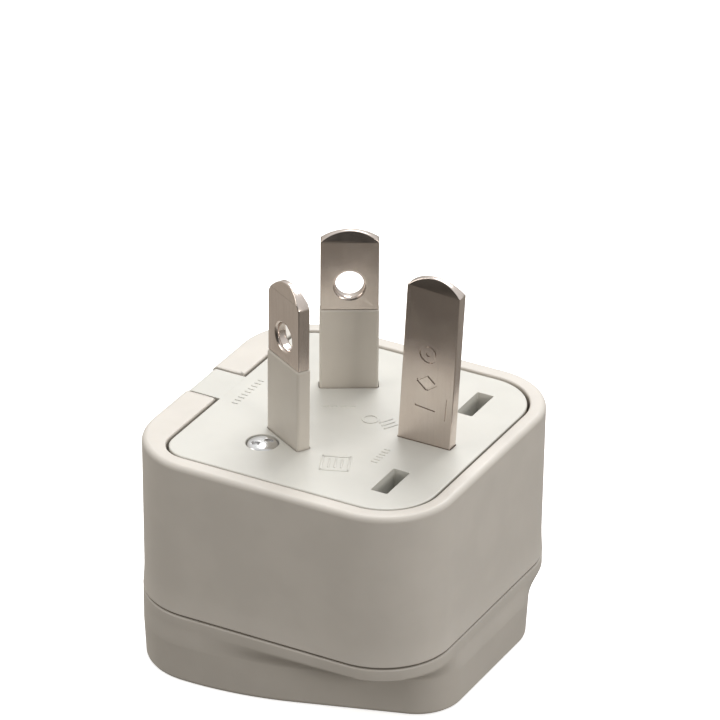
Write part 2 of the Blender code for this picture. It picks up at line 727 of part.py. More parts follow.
def strip_outline(centres, thickness):
    """Closed outline of a bent strip from the points along its middle."""
    left, right = [], []
    for i, (x, y) in enumerate(centres):
        px, py = centres[max(i - 1, 0)]
        nx, ny = centres[min(i + 1, len(centres) - 1)]
        dx, dy, _ = unit(px, py, nx, ny)
        if 0 < i < len(centres) - 1:
            ax, ay, _ = unit(px, py, x, y)
            grow = 1.0 / max(0.5, abs(ax * dx + ay * dy))
        else:
            grow = 1.0
        ox, oy = -dy * thickness / 2 * grow, dx * thickness / 2 * grow
        left.append((x + ox, y + oy))
        right.append((x - ox, y - oy))
    return right + left[::-1]


def channel_profile():
    """End view of a contact: two leaves with a throat and a flared mouth, joined on top."""
    mouth, top = CONTACT_Z[0], EAR_Z[0] + CONTACT_THICKNESS / 2
    return strip_outline([
        (-CONTACT_SPREAD, mouth), (-CONTACT_THROAT, mouth + 2.6), (-CONTACT_SPREAD, mouth + 5.5),
        (-CONTACT_SPREAD, top), (CONTACT_SPREAD, top), (CONTACT_SPREAD, mouth + 5.5),
        (CONTACT_THROAT, mouth + 2.6), (CONTACT_SPREAD, mouth)], CONTACT_THICKNESS)


def pole_contact(name, side):
    """Line or neutral contact, hung by its ears from the top of the carrier."""
    y0, y1 = POLE_CONTACT_Y
    if side < 0:
        y0, y1 = -y1, -y0
    contact = prism("%s_contact" % name, channel_profile(), -y1, -y0, brass())
    contact = upright(contact, POLE_X)
    ears = rectangle(POLE_X - EAR_HALF + 0.4, POLE_X + EAR_HALF, *sorted((y0, y1)))
    join(contact, prism("add_%s_ears" % name, ears, *EAR_Z))
    cut(contact, at(round_rod("cut_%s_rivet" % name, [(RIVET_HOLE, 21.0), (RIVET_HOLE, 23.0)]),
                    POLE_X, side * POLE_RIVET_Y))
    return contact


def earth_contact():
    """Earth contact: its leaves run the length of the slot and one strap joins them."""
    x0, x1 = EARTH_CONTACT_X
    contact = upright(prism("earth_contact", channel_profile(), x0, x1, brass()), turn=90.0)
    strap = (EARTH_RIVET_X - 1.9, EARTH_RIVET_X + 1.5)
    join(contact, prism("add_earth_ears", rectangle(*strap, -EAR_HALF, EAR_HALF), *EAR_Z))
    inner = CONTACT_SPREAD - CONTACT_THICKNESS / 2
    for label, low, high in (("back", x0 - 1.0, strap[0]), ("front", strap[1], x1 + 1.0)):
        cut(contact, prism("cut_earth_%s" % label, rectangle(low, high, -inner, inner),
                           EAR_Z[0] - 1.0, EAR_Z[1] + 1.0))
    cut(contact, at(round_rod("cut_earth_rivet", [(RIVET_HOLE, 21.0), (RIVET_HOLE, 23.0)]),
                    EARTH_RIVET_X, 0.0))
    return contact


def pole_strip(name, side, x, y, turn):
    """Flat strip from a pole contact to its pin."""
    arm = rectangle(POLE_X - 2.0, x + 0.4, 5.0, 7.6)
    if side < 0:
        arm = mirrored(arm)
    strip = prism("%s_strip" % name, arm, *LINK_Z, brass())
    pad = turned(rectangle(-1.9, 1.9, -1.5, 1.5), turn, x, y)
    join(strip, prism("add_%s_pad" % name, pad, *LINK_Z))
    slot = turned(rectangle(-TENON_HALF - FIT_GAP, TENON_HALF + FIT_GAP, -0.75, 0.75), turn, x, y)
    cut(strip, prism("cut_%s_tenon" % name, slot, LINK_Z[0] - 1.0, LINK_Z[1] + 1.0))
    cut(strip, at(round_rod("cut_%s_strip_rivet" % name, [(RIVET_HOLE, 22.0), (RIVET_HOLE, 24.0)]),
                  POLE_X, side * POLE_RIVET_Y))
    return strip


def earth_strip():
    """Flat strip from the earth contact to the earth pin."""
    strip = prism("earth_strip", rectangle(EARTH_RIVET_X - 1.9, 13.3, -1.9, 1.9), *LINK_Z, brass())
    reach = EARTH_TENON_HALF + FIT_GAP
    slot = rectangle(EARTH_X - reach, EARTH_X + reach, -0.9, 0.9)
    cut(strip, prism("cut_earth_tenon", slot, LINK_Z[0] - 1.0, LINK_Z[1] + 1.0))
    cut(strip, at(round_rod("cut_earth_strip_rivet", [(RIVET_HOLE, 22.0), (RIVET_HOLE, 24.0)]),
                  EARTH_RIVET_X, 0.0))
    return strip


def rivet(name, x, y):
    """Rivet through a strip and the top of its contact."""
    below, above = EAR_Z[0] - FIT_GAP, LINK_Z[1] + FIT_GAP
    return at(round_rod(name, [
        (RIVET_HEAD - 0.3, below - 0.45), (RIVET_HEAD, below - 0.3), (RIVET_HEAD, below),
        (RIVET_RADIUS, below), (RIVET_RADIUS, above), (RIVET_HEAD, above),
        (RIVET_HEAD, above + 0.3), (RIVET_HEAD - 0.3, above + 0.55)], brass(), 16), x, y)


# ---------------------------------------------------------------- shutter

def safety_shutter():
    """Two ramped paddles over the line and neutral apertures, tied by a bridge."""
    centre = (PADDLE_X[0] + PADDLE_X[1]) / 2
    middle = (PADDLE_Y[0] + PADDLE_Y[1]) / 2
    outline = rounded(rectangle(*PADDLE_X, *PADDLE_Y), [0.4, 0.4, 2.5, 0.4], 4)
    shutter = prism("safety_shutter", [(x - centre, y) for x, y in outline], *SHUTTER_Z,
                    white_plastic())
    shutter.location = to_metres((centre, 0.0, 0.0))
    other = prism("add_neutral_paddle", mirrored(outline), *SHUTTER_Z)
    bridge = prism("add_shutter_bridge",
                   rectangle(-11.9, -9.6, -middle, middle), SHUTTER_Z[1] - 1.6, SHUTTER_Z[1])
    join(shutter, bridge, other)
    back, front = PADDLE_X
    low, high = SHUTTER_Z
    ramp = [(back - 1.0, high - 0.6), (back - 1.0, low - 1.0), (front - 1.2, low - 1.0),
            (front - 1.2, low), (back, high - 0.6)]
    for side in (-1, 1):
        y0, y1 = sorted((side * (PADDLE_Y[0] - 0.5), side * (PADDLE_Y[1] + 0.5)))
        cut(shutter, upright(prism("cut_ramp_%d" % side, ramp, -y1, -y0)))
    return shutter


def shutter_spring(name, side):
    """Compression spring between a paddle and its stop."""
    start, end = PADDLE_X[1] + FIT_GAP + SPRING_WIRE, SPRING_STOP_X - FIT_GAP - SPRING_WIRE
    around = 12
    sides = 6
    steps = SPRING_TURNS * around

    def edit(bm):
        rings = []
        for k in range(steps + 1):
            angle = math.tau * k / around
            x = start + (end - start) * k / steps
            ring = []
            for s in range(sides):
                turn = math.tau * s / sides
                out = SPRING_RADIUS + SPRING_WIRE * math.cos(turn)
                point = (x + SPRING_WIRE * math.sin(turn),
                         side * SPRING_Y + out * math.cos(angle),
                         SPRING_Z + out * math.sin(angle))
                ring.append(bm.verts.new(to_metres(point)))
            rings.append(ring)
        for one, two in zip(rings, rings[1:]):
            for s in range(sides):
                n = (s + 1) % sides
                bm.faces.new((one[s], one[n], two[n], two[s]))
        bm.faces.new(rings[0][::-1])
        bm.faces.new(rings[-1])
    return new_object(name, edit, steel())


def shutter_cover():
    """Plate over the shutter with the same apertures as the face."""
    cover = prism("shutter_cover", room_outline(FIT_GAP), *COVER_Z, white_plastic())
    cut_apertures(cover, "cover", COVER_Z[0] - 1.0, COVER_Z[1] + 1.0)
    return cover


# ---------------------------------------------------------------- assembly

def clear_scene():
    for obj in list(bpy.data.objects):
        bpy.data.objects.remove(obj, do_unlink=True)


def main():
    clear_scene()
    outer_shell()
    socket_base()
    plug_plate()
    earth_pin()
    earth_contact()
    earth_strip()
    rivet("earth_rivet", EARTH_RIVET_X, 0.0)
    poles = (("line", 1, LINE_PLACE, LINE_HEIGHTS, LINE_HOLE_HEIGHT),
             ("neutral", -1, NEUTRAL_PLACE, NEUTRAL_HEIGHTS, NEUTRAL_HOLE_HEIGHT))
    for name, side, (x, y), heights, hole_height in poles:
        turn = side * BLADE_TURN
        pole_pin(name, x, y, turn, heights, hole_height)
        pole_sleeve(name, x, y, turn)
        pole_contact(name, side)
        pole_strip(name, side, x, y, turn)
        rivet("%s_rivet" % name, POLE_X, side * POLE_RIVET_Y)
        plate_screw(name)
        shutter_spring("shutter_spring_%s" % name, side)
    contact_carrier()
    shutter_cover()
    safety_shutter()


main()
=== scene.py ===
import math

import bmesh
import bpy
from mathutils import Matrix, Vector


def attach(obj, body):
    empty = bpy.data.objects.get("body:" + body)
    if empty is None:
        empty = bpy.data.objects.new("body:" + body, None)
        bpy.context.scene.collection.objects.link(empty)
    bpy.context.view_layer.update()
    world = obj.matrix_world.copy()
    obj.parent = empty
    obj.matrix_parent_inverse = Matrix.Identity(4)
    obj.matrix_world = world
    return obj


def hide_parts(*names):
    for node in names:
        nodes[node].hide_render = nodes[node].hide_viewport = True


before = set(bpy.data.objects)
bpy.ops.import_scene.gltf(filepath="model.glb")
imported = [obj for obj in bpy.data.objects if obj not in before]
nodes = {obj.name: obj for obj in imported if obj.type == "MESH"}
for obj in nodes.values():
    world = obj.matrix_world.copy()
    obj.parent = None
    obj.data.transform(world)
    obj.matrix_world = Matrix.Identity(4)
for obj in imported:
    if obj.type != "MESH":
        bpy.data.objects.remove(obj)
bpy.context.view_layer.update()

MM = 0.001
scene = bpy.context.scene

# Housing, in millimetres, as in the part
BODY_LENGTH, BODY_WIDTH, BODY_HEIGHT, CORNER_RADIUS = 37.85, 37.7, 27.95, 8.45
SHELL_BOTTOM, SHELL_WALL, SHELL_EDGE = 8.8, 1.8, 0.16
SHELL_LEAN, SHELL_FLARE, FLARE_HEIGHT = 0.17, 0.18, 3.0
RIM_FILLET, RIM_INNER = 0.68, 0.22
FOOT_CORNERS = [(19.08, -11.5), (19.08, 11.5), (-3.6, 18.95), (-18.57, 18.95),
                (-18.57, -18.95), (-3.6, -18.95)]
FOOT_RADII = [5.8, 5.8, 42.0, 8.0, 8.0, 42.0]
ROOM_CORNERS = [(16.2, -9.8), (16.2, 9.8), (1.0, 15.9),
                (-16.2, 15.9), (-16.2, -15.9), (1.0, -15.9)]
ROOM_RADII = [3.2, 3.2, 8.0, 4.0, 4.0, 8.0]
FOOT_FILLET, FOOT_LEAN, SWEEP_LOW, SWEEP_RISE = 0.6, 0.22, 4.75, 2.4
COLLAR_PROUD, COLLAR_LOW, COLLAR_TOP, COLLAR_EDGE = 0.16, 7.35, 8.55, 0.22
SPIGOT_OUT, SPIGOT_IN, SPIGOT_TOP, SPIGOT_ROOT = 2.1, 2.9, 11.0, 8.6
ROOM_STEP, ROOM_LEDGE, SOCKET_WALL = 6.9, 0.7, 2.2
PLATE_CORNERS = [(17.3, -16.95), (17.3, 16.95), (-15.0, 16.95), (-15.0, -16.95)]
PLATE_RADII = [6.6, 6.6, 3.5, 3.5]
PLATE_TOP, PLATE_BOTTOM, PLATE_GAP, PLATE_EDGE = 27.85, 25.3, 0.32, 0.2
LEDGE, LEDGE_TOP, LEDGE_BOTTOM = 1.2, 25.05, 23.4
TAB_ROOT, TAB_BACK, TAB_DROP = -13.5, 0.12, 0.03
TAB_SIDES, NOTCH_SIDES = (-2.85, 3.05), (-3.2, 3.2)
WINDOW_X, WINDOW_Y, WINDOW_LENGTH, WINDOW_WIDTH = 11.2, 10.1, 2.05, 5.4
POLE_SLOT, EARTH_SLOT = (6.82, 1.82), (6.76, 1.58)
RELIEF_HEIGHT, RELIEF_ROOT, RELIEF_EDGE = 0.07, -0.05, 0.03

# Socket apertures: two poles that mirror each other, and the earth.
# A broad or a blade aperture is a length and a width.
POLE_X, ROUND_RADIUS, ROUND_Y, BLADE_Y, SLANT_Y, SLANT = -11.6, 2.6, 9.5, 6.35, 6.85, 30.0
BLADE_SLOT, POLE_BROAD, POLE_BROAD_Y = (6.6, 1.8), (4.4, 6.8), 11.1
EARTH_BROAD, EARTH_BROAD_X, EARTH_ROUND_X = (8.2, 4.4), 10.6, 0.3

# Pins: x, y, turn, then shoulder, peak and hole above the plate
PINS = {"line": (-3.48, 7.2, 30.0, 18.6, 19.8, 13.1),
        "neutral": (-3.4, -7.0, -30.0, 17.4, 19.5, 12.9)}
EARTH_X, EARTH_LEAN, EARTH_SHOULDER, EARTH_PEAK = 10.38, 2.8, 19.3, 20.74
PIN_WIDTH, PIN_THICKNESS, HOLE_RADIUS, HOLE_DRAW = 6.6, 1.45, 2.0, 0.42
HOLE_BEND, SLOPE_DROP, STAMP_DEPTH = 0.38, 1.4, 0.12
SLEEVE_WIDTH, SLEEVE_THICKNESS, SLEEVE_TOP, SLEEVE_EDGE = 6.75, 1.75, 37.8, 0.25
SCREWS = {"line": (-5.4, 9.65), "neutral": (-5.4, -9.43)}
SCREW_RADIUS, SCREW_LOW, SCREW_HIGH, SHANK_LOW, SHANK_RADIUS = 1.8, 27.1, 28.0, 20.0, 1.0
BORE_RADIUS, BORE_TOP, COUNTERBORE_LOW = 1.3, 27.0, 26.8

# Points to an outline, so that outlines of different shapes join
RAYS = 360

# Camera, in degrees and millimetres, and the floor, in metres
CAMERA_AZIMUTH, CAMERA_ELEVATION, CAMERA_ROLL = 28.236, 28.434, 0.56
CAMERA_TARGET, CAMERA_DISTANCE, CAMERA_LENS = (-9.42, 20.93, 22.93), 655.686, 281.0
FLOOR_SIZE, FLOOR_DROP = 6.0, 0.00002
WARM = (1.0, 0.965, 0.92)


# ---------------------------------------------------------------- shader helpers

class Shader:
    """Builds one material's node tree."""

    def __init__(self, name):
        self.mat = bpy.data.materials.new(name)
        self.mat.use_nodes = True
        self.tree = self.mat.node_tree
        self.p = self.tree.nodes["Principled BSDF"]
        self.coord = self.node("ShaderNodeTexCoord").outputs["Object"]

    def node(self, kind, **values):
        """A new node with its properties set."""
        made = self.tree.nodes.new(kind)
        for key, value in values.items():
            setattr(made, key, value)
        return made

    def link(self, a, b):
        self.tree.links.new(a, b)

    def noise(self, scale, detail=4.0, rough=0.55, stretch=(1, 1, 1)):
        """Noise in object space, its scale per metre."""
        mapping = self.node("ShaderNodeMapping")
        mapping.inputs["Scale"].default_value = [scale * s for s in stretch]
        self.link(self.coord, mapping.inputs["Vector"])
        noise = self.node("ShaderNodeTexNoise")
        noise.inputs["Scale"].default_value = 1.0
        noise.inputs["Detail"].default_value = detail
        noise.inputs["Roughness"].default_value = rough
        self.link(mapping.outputs["Vector"], noise.inputs["Vector"])
        return noise.outputs["Fac"]

    def spread(self, value, low, high, out_low, out_high):
        """Smooth step from one range to another."""
        ramp = self.node("ShaderNodeMapRange", interpolation_type="SMOOTHSTEP")
        for key, number in zip(("From Min", "From Max", "To Min", "To Max"),
                               (low, high, out_low, out_high)):
            ramp.inputs[key].default_value = number
        self.link(value, ramp.inputs["Value"])
        return ramp.outputs["Result"]

    def math(self, operation, a, b):
        """Arithmetic on two, each a number or a socket."""
        made = self.node("ShaderNodeMath", operation=operation)
        for socket, value in zip(made.inputs, (a, b)):
            if isinstance(value, (int, float)):
                socket.default_value = value
            else:
                self.link(value, socket)
        return made.outputs[0]

    def mix(self, factor, a, b):
        """Colour between two, each a tuple or a socket."""
        made = self.node("ShaderNodeMix", data_type="RGBA")
        self.link(factor, made.inputs["Factor"])
        for socket, value in ((made.inputs[6], a), (made.inputs[7], b)):
            if isinstance(value, tuple):
                socket.default_value = (*value, 1.0)
            else:
                self.link(value, socket)
        return made.outputs[2]

    def bump(self, layers):
        """Bumps one over another, each a height, a depth in mm and a strength."""
        normal = None
        for height, depth, strength in layers:
            made = self.node("ShaderNodeBump")
            made.inputs["Strength"].default_value = strength
            made.inputs["Distance"].default_value = depth * MM
            self.link(height, made.inputs["Height"])
            if normal:
                self.link(normal, made.inputs["Normal"])
            normal = made.outputs["Normal"]
        self.link(normal, self.p.inputs["Normal"])

    def edges(self, low=0.52, high=0.60):
        """High where the surface turns outwards."""
        return self.spread(self.node("ShaderNodeNewGeometry").outputs["Pointiness"], low, high,
                           0.0, 1.0)

    def crevices(self, reach):
        """Low in gaps and corners."""
        occlusion = self.node("ShaderNodeAmbientOcclusion", samples=6)
        occlusion.inputs["Distance"].default_value = reach * MM
        return occlusion.outputs["AO"]


def plastic(name, colour, rough, grain=1.0):
    """Moulded plastic: fine spark grain, faint flow mottling, worn edges, painted shade that
    darkens the colour in gaps.
    """
    s = Shader(name)
    cloudy = s.spread(s.noise(140.0, 3.0), 0.35, 0.65, 0.0, 1.0)
    tone = s.mix(cloudy, tuple(c * 0.975 for c in colour), tuple(c * 1.02 for c in colour))
    specks = s.spread(s.noise(2600.0, 2.0), 0.70, 0.76, 0.0, 0.10)
    tone = s.mix(specks, tone, tuple(c * 0.75 for c in colour))
    worn = s.math("MULTIPLY", s.edges(0.54, 0.66), s.spread(s.noise(300.0), 0.2, 0.8, 0.1, 0.3))
    tone = s.mix(worn, tone, tuple(min(1.0, c * 1.06) for c in colour))
    # Painted shade: the colour turns a darker brown where ambient occlusion finds gaps and
    # corners
    crevice_painted_shade = s.spread(s.crevices(0.9), 0.15, 0.8, 0.45, 0.0)
    tone = s.mix(crevice_painted_shade, tone, tuple(c * f for c, f in zip(colour, (0.45, 0.40, 0.34))))
    s.link(tone, s.p.inputs["Base Color"])
    polish = s.spread(s.noise(260.0, 5.0), 0.3, 0.7, rough - 0.05, rough + 0.07)
    s.link(s.math("SUBTRACT", polish, s.math("MULTIPLY", worn, 0.12)), s.p.inputs["Roughness"])
    s.p.inputs["Subsurface Weight"].default_value = 0.04
    s.p.inputs["Subsurface Radius"].default_value = (0.0012, 0.0009, 0.0006)
    s.bump([(s.noise(9000.0, 2.0), 0.006 * grain, 0.35),
            (s.noise(1500.0, 3.0), 0.012 * grain, 0.25),
            (s.noise(90.0, 2.0), 0.12, 0.05)])
    return s.mat


def metal(name, colour, rough, smudge, along=(1, 1, 1)):
    """Plated or rolled metal: directional grain, smudges, bright worn edges."""
    s = Shader(name)
    smear = s.spread(s.noise(330.0, 5.0, 0.6), 0.3, 0.75, 0.0, 1.0)
    tone = s.mix(smear, colour, tuple(c * t for c, t in zip(colour, (0.97, 0.955, 0.94))))
    stain = s.spread(s.noise(900.0, 2.0), 0.55, 0.85, 0.0, 0.12)
    tone = s.mix(stain, tone, tuple(c * t for c, t in zip(colour, (0.72, 0.66, 0.58))))
    worn = s.math("MULTIPLY", s.edges(), s.spread(s.noise(900.0), 0.3, 0.6, 0.3, 0.9))
    tone = s.mix(worn, tone, tuple(min(1.0, c * 1.18) for c in colour))
    brushed = s.noise(1.0, 3.0, 0.7, [k * 4200.0 for k in along])
    streak = s.spread(brushed, 0.35, 0.75, 0.0, 0.5)
    tone = s.mix(streak, tone, tuple(0.86 * c for c in colour))
    s.link(tone, s.p.inputs["Base Color"])
    polish = s.spread(s.noise(320.0, 2.0), 0.25, 0.75, rough - smudge / 2, rough + smudge)
    s.link(s.math("ADD", polish, s.math("MULTIPLY", brushed, 0.03)), s.p.inputs["Roughness"])
    s.p.inputs["Metallic"].default_value = 1.0
    s.bump([(brushed, 0.004, 0.35), (s.noise(200.0, 2.0), 0.04, 0.08)])
    return s.mat


# ---------------------------------------------------------------- outlines

def unit(ax, ay, bx, by):
    """Unit vector from one point to another."""
    length = math.hypot(bx - ax, by - ay)
    return (bx - ax) / length, (by - ay) / length


def rounded(corners, radii, inset=0.0, steps=24):
    """Anticlockwise outline moved inwards, each corner an arc of its own radius."""
    count = len(corners)
    moved = []
    for i in range(count):
        ax, ay = unit(*corners[i - 1], *corners[i])
        bx, by = unit(*corners[i], *corners[(i + 1) % count])
        shift = inset / (ax * by - ay * bx)
        moved.append((corners[i][0] + (bx - ax) * shift, corners[i][1] + (by - ay) * shift))
    outline = []
    for i, (cx, cy) in enumerate(moved):
        radius = max(radii[i] - inset, 0.02)
        ax, ay = unit(cx, cy, *moved[i - 1])
        bx, by = unit(cx, cy, *moved[(i + 1) % count])
        half = 0.5 * math.acos(max(-1.0, min(1.0, ax * bx + ay * by)))
        mx, my = unit(0.0, 0.0, ax + bx, ay + by)
        ox, oy = cx + mx * radius / math.sin(half), cy + my * radius / math.sin(half)
        back = radius / math.tan(half)
        start = math.atan2(cy + ay * back - oy, cx + ax * back - ox)
        for k in range(steps + 1):
            angle = start + (math.pi - 2.0 * half) * k / steps
            outline.append((ox + radius * math.cos(angle), oy + radius * math.sin(angle)))
    return outline


def rectangle(x0, x1, y0, y1):
    """Four corners, anticlockwise from the lower right."""
    return [(x1, y0), (x1, y1), (x0, y1), (x0, y0)]


def block(length, width, cx=0.0, cy=0.0):
    """Rectangle about a point."""
    return rectangle(cx - length / 2, cx + length / 2, cy - width / 2, cy + width / 2)


def turned(points, angle, cx=0.0, cy=0.0):
    """Points turned about the origin, then moved."""
    c, s = math.cos(math.radians(angle)), math.sin(math.radians(angle))
    return [(cx + x * c - y * s, cy + x * s + y * c) for x, y in points]


def circle(radius, cx=0.0, cy=0.0, count=64):
    """Points round a circle, anticlockwise."""
    return [(cx + radius * math.cos(math.tau * k / count),
             cy + radius * math.sin(math.tau * k / count)) for k in range(count)]


def quarter(steps):
    """What sine and cosine lack of one, in even steps over a quarter turn."""
    turns = [math.radians(90.0 * k / steps) for k in range(steps + 1)]
    return [(1.0 - math.sin(turn), 1.0 - math.cos(turn)) for turn in turns]


def on_rays(outline):
    """The outline's points on evenly turned rays from the Z axis."""
    step = math.tau / RAYS
    reach = [0.0] * RAYS
    for (ax, ay), (bx, by) in zip(outline, outline[1:] + outline[:1]):
        a, b = math.atan2(ay, ax), math.atan2(by, bx)
        turn = (b - a + math.pi) % math.tau - math.pi
        if turn <= 0.0:
            continue
        for k in range(math.ceil(a / step), math.floor((a + turn) / step) + 1):
            c, s = math.cos(k * step), math.sin(k * step)
            before, after = ay * c - ax * s, by * c - bx * s
            t = before / (before - after) if before != after else 0.0
            reach[k % RAYS] = (ax + (bx - ax) * t) * c + (ay + (by - ay) * t) * s
    return [(r * math.cos(k * step), r * math.sin(k * step)) for k, r in enumerate(reach)]


def body(inset):
    """Housing outline."""
    return on_rays(rounded(block(BODY_LENGTH, BODY_WIDTH), [CORNER_RADIUS] * 4, inset))


def foot(inset):
    """Foot outline, narrower towards the earth end."""
    return on_rays(rounded(FOOT_CORNERS, FOOT_RADII, inset))


def room(inset):
    """Outline of the hollow in the base."""
    return on_rays(rounded(ROOM_CORNERS, ROOM_RADII, inset))


def opening(inset):
    """Outline of the opening that takes the plate."""
    return on_rays(rounded(PLATE_CORNERS, PLATE_RADII, inset))


# ---------------------------------------------------------------- solids

def mesh_object(name, edit, mat=None):
    """A new object whose mesh the edit function fills."""
    mesh = bpy.data.meshes.new(name)
    bm = bmesh.new()
    edit(bm)
    bmesh.ops.recalc_face_normals(bm, faces=bm.faces)
    bm.to_mesh(mesh)
    bm.free()
    mesh.shade_smooth()
    obj = bpy.data.objects.new(name, mesh)
    scene.collection.objects.link(obj)
    if mat:
        mesh.materials.append(mat)
    return obj


def rings(name, levels, mat=None, loop=False):
    """A solid through level rings: capped, or with its last ring joined to its first."""
    def edit(bm):
        loops = [[bm.verts.new((x * MM, y * MM, z * MM)) for x, y in outline]
                 for outline, z in levels]
        pairs = list(zip(loops, loops[1:]))
        if loop:
            pairs.append((loops[-1], loops[0]))
        count = len(loops[0])
        for low, high in pairs:
            for k in range(count):
                n = (k + 1) % count
                bm.faces.new((low[k], low[n], high[n], high[k]))
        if not loop:
            bm.faces.new(list(reversed(loops[0])))
            bm.faces.new(loops[-1])
    return mesh_object(name, edit, mat)


def prism(name, outline, z0, z1, mat=None):
    """An outline drawn out along Z."""
    return rings(name, [(outline, z0), (outline, z1)], mat)


def upright(obj, x=0.0, y=0.0, turn=0.0, z=0.0, lean=0.0):
    """Stands a prism up, so that its outline's Y points along Z."""
    obj.rotation_mode = "XZY"
    obj.rotation_euler = (math.radians(90), math.radians(lean), math.radians(turn))
    obj.location = (x * MM, y * MM, z * MM)
    return obj


def combine(target, operation, *others):
    """Booleans with helpers that settle removes."""
    for other in others:
        other.hide_render = True
        other.hide_viewport = True
        mod = target.modifiers.new(operation.lower(), "BOOLEAN")
        mod.operation = operation
        mod.solver = "EXACT"
        mod.object = other


def soften(obj, width, segments=2, angle=60.0):
    """Rounds the edges sharper than an angle."""
    mod = obj.modifiers.new("edges", "BEVEL")
    mod.width = width * MM
    mod.segments = segments
    mod.limit_method = "ANGLE"
    mod.angle_limit = math.radians(angle)
    mod.use_clamp_overlap = False


def even_normals(obj, angle=50.0):
    """Smooth shading that flat faces dominate, broken at sharp edges."""
    obj.data.shade_smooth()
    obj.data.set_sharp_from_angle(angle=math.radians(angle))
    mod = obj.modifiers.new("normals", "WEIGHTED_NORMAL")
    mod.keep_sharp = True
    mod.weight = 60


def settle(obj):
    """Bakes an object's modifiers and helpers into its own mesh."""
    helpers = [m.object for m in obj.modifiers if m.type == "BOOLEAN"]
    for helper in helpers:
        helper.hide_viewport = False
    bpy.context.view_layer.update()
    graph = bpy.context.evaluated_depsgraph_get()
    mesh = bpy.data.meshes.new_from_object(obj.evaluated_get(graph), depsgraph=graph,
                                           preserve_all_data_layers=True)
    mesh.transform(obj.matrix_world)
    old = obj.data
    obj.modifiers.clear()
    obj.data = mesh
    obj.matrix_world = Matrix.Identity(4)
    mesh.name = obj.name
    bpy.data.meshes.remove(old)
    for helper in helpers:
        bpy.data.objects.remove(helper, do_unlink=True)


def finished(obj, slot, *replaced):
    """Settles a piece and puts it in the frame."""
    settle(obj)
    even_normals(obj)
    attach(obj, "adapter")
    if replaced:
        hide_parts(*replaced)
    return obj


# ---------------------------------------------------------------- housing

def shell_piece(mat):
    """Plug side housing: flared lower edge, rounded rim, ledge and notch."""
    levels = [(body(SHELL_EDGE * s - SHELL_FLARE), SHELL_BOTTOM + SHELL_EDGE * c)
              for s, c in quarter(5)[:-1]]
    wall = BODY_HEIGHT - SHELL_BOTTOM
    for rise in (SHELL_EDGE, 0.5, 1.0, 1.6, 2.3, 3.0, 6.0, 10.0, 14.0, 17.0):
        flare = max(0.0, 1.0 - rise / FLARE_HEIGHT) ** 1.5
        levels.append((body(-SHELL_LEAN * rise / wall - SHELL_FLARE * flare),
                       SHELL_BOTTOM + rise))
    levels += [(body(RIM_FILLET * c - SHELL_LEAN), BODY_HEIGHT - RIM_FILLET * s)
               for s, c in quarter(10)]
    levels += [(opening(-RIM_INNER * s), BODY_HEIGHT - RIM_INNER * c) for s, c in quarter(5)]
    levels += [(opening(0.0), BODY_HEIGHT - 1.0), (opening(0.0), LEDGE_TOP),
               (opening(LEDGE), LEDGE_TOP), (opening(LEDGE), LEDGE_BOTTOM),
               (body(SHELL_WALL), LEDGE_BOTTOM), (body(SHELL_WALL), SHELL_BOTTOM)]
    shell = rings("shell", levels, mat, loop=True)
    notch = prism("notch", rectangle(-BODY_LENGTH / 2 - 1.0, PLATE_CORNERS[2][0] + 0.5,
                                     *NOTCH_SIDES), LEDGE_TOP, BODY_HEIGHT + 1.0)
    combine(shell, "DIFFERENCE", notch)
    soften(shell, 0.08)
    finished(shell, "housing_plastic", "outer_shell")


def base_piece(mat):
    """Socket side housing: foot that sweeps out to a collar, spigot and hollow."""
    levels = [(foot(FOOT_FILLET * s), FOOT_FILLET * c) for s, c in quarter(6)]
    low, high = foot(-FOOT_LEAN), body(-COLLAR_PROUD)
    for k in range(19):
        t = k / 18
        blend = t * t * (2.4 - 1.4 * t)
        levels.append(([(lx + (hx - lx) * blend, ly + (hy - ly) * blend)
                        for (lx, ly), (hx, hy) in zip(low, high)], SWEEP_LOW + SWEEP_RISE * t))
    levels.append((body(-COLLAR_PROUD), COLLAR_LOW))
    levels += [(body(COLLAR_EDGE * c - COLLAR_PROUD), COLLAR_TOP - COLLAR_EDGE * s)
               for s, c in quarter(5)]
    levels += [(body(SPIGOT_OUT), COLLAR_TOP), (body(SPIGOT_OUT), SPIGOT_TOP),
               (body(SPIGOT_IN), SPIGOT_TOP), (body(SPIGOT_IN), SPIGOT_ROOT),
               (room(0.0), SPIGOT_ROOT), (room(0.0), ROOM_STEP),
               (room(ROOM_LEDGE), ROOM_STEP), (room(ROOM_LEDGE), SOCKET_WALL)]
    base = rings("base", levels, mat)
    combine(base, "DIFFERENCE", *apertures())
    soften(base, 0.12)
    finished(base, "housing_plastic", "socket_base")


def apertures():
    """Cutters for the universal pattern in the socket face."""
    shapes = []
    for side in (-1, 1):
        mirror = (lambda points: points) if side > 0 else (
            lambda points: [(x, -y) for x, y in reversed(points)])
        slot = block(*BLADE_SLOT)
        shapes += [mirror(circle(ROUND_RADIUS, POLE_X, ROUND_Y)),
                   mirror(rounded(block(*POLE_BROAD, POLE_X, POLE_BROAD_Y), [0.4] * 4, 0.0, 6)),
                   mirror(turned(slot, 0.0, POLE_X, BLADE_Y)),
                   mirror(turned(slot, SLANT, POLE_X, SLANT_Y))]
    shapes += [circle(ROUND_RADIUS, EARTH_ROUND_X, 0.0), rectangle(EARTH_ROUND_X, 7.5, -1.0, 1.0),
               rounded(block(*EARTH_BROAD, EARTH_BROAD_X), [0.4] * 4, 0.0, 6)]
    return [prism("aperture", shape, -1.0, SOCKET_WALL + 0.05) for shape in shapes]


# ---------------------------------------------------------------- plug plate

